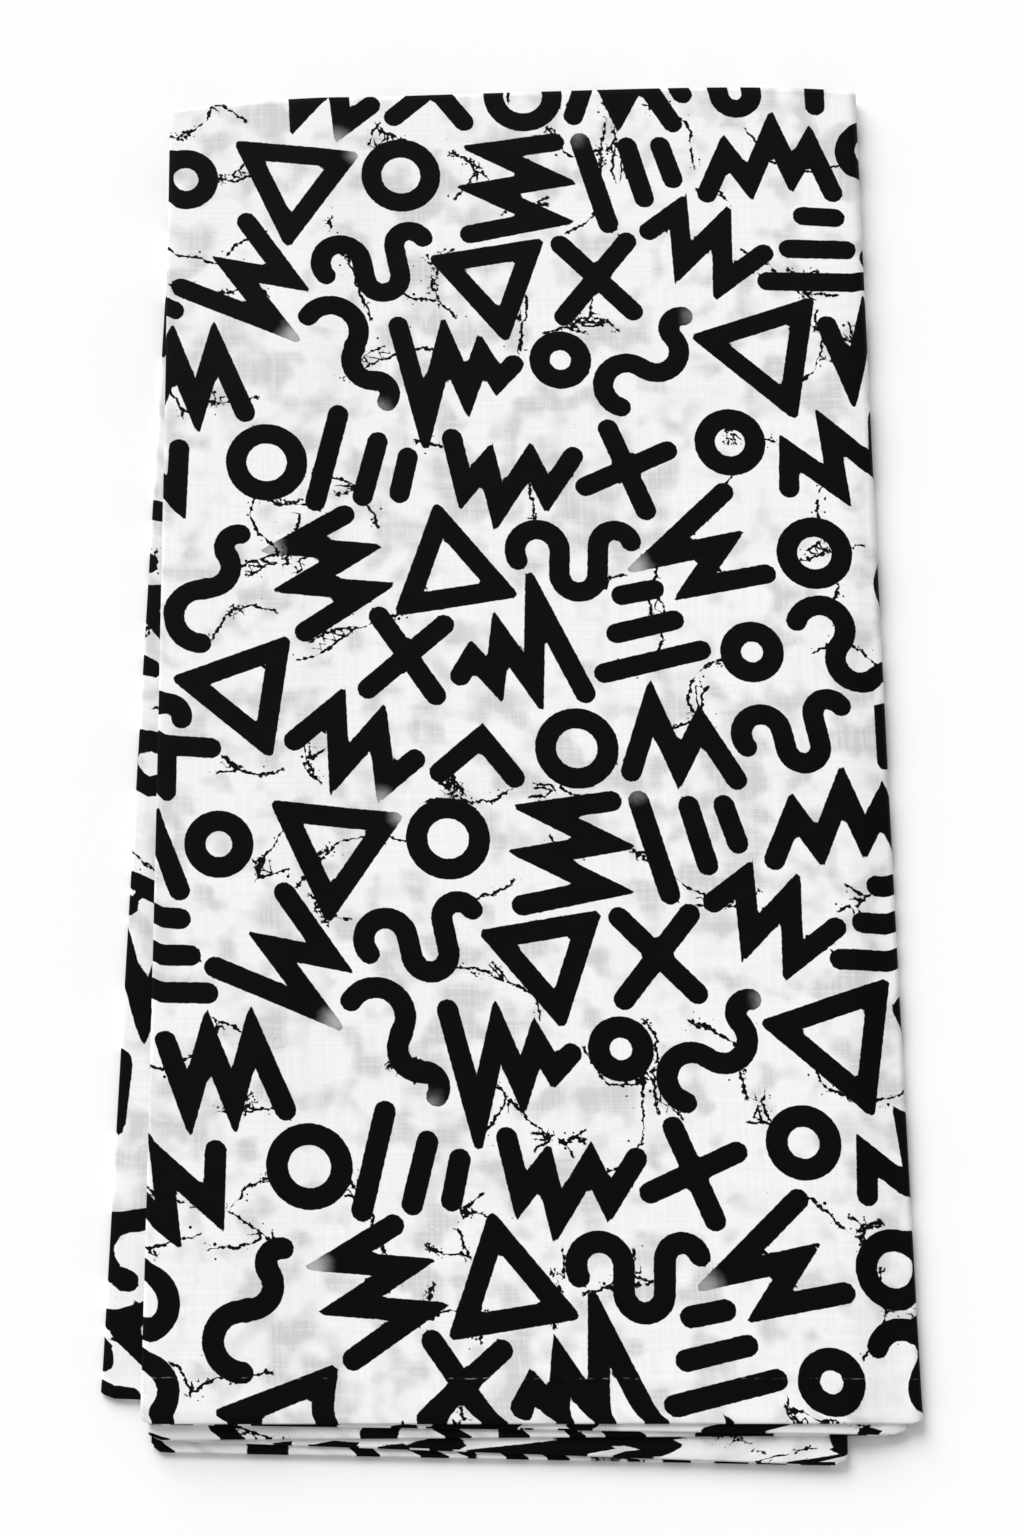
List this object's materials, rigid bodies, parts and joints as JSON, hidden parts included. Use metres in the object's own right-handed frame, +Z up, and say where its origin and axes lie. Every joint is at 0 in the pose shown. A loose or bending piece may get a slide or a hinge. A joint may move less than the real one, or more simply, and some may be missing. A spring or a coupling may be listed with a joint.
{
  "type": "folded wax print fabric",
  "caption": "length of black and white wax print cotton, doubled and folded back and forth into a flat packet with uneven edges",
  "frame": {"origin": "on the surface that the packet rests on, under the middle of its bounding box", "axes": "+Z up, +Y along the packet from the end where the cloth is doubled to the end where the selvedges meet, +X across the packet to the right"},
  "size_m": [0.3235, 0.593, 0.0105],
  "materials": {
    "cotton": "plain weave cotton, matte with a faint starch sheen, white ground printed black"
  },
  "bodies": {
    "root": {"folded_cloth": "cotton"}
  },
  "joints": []
}
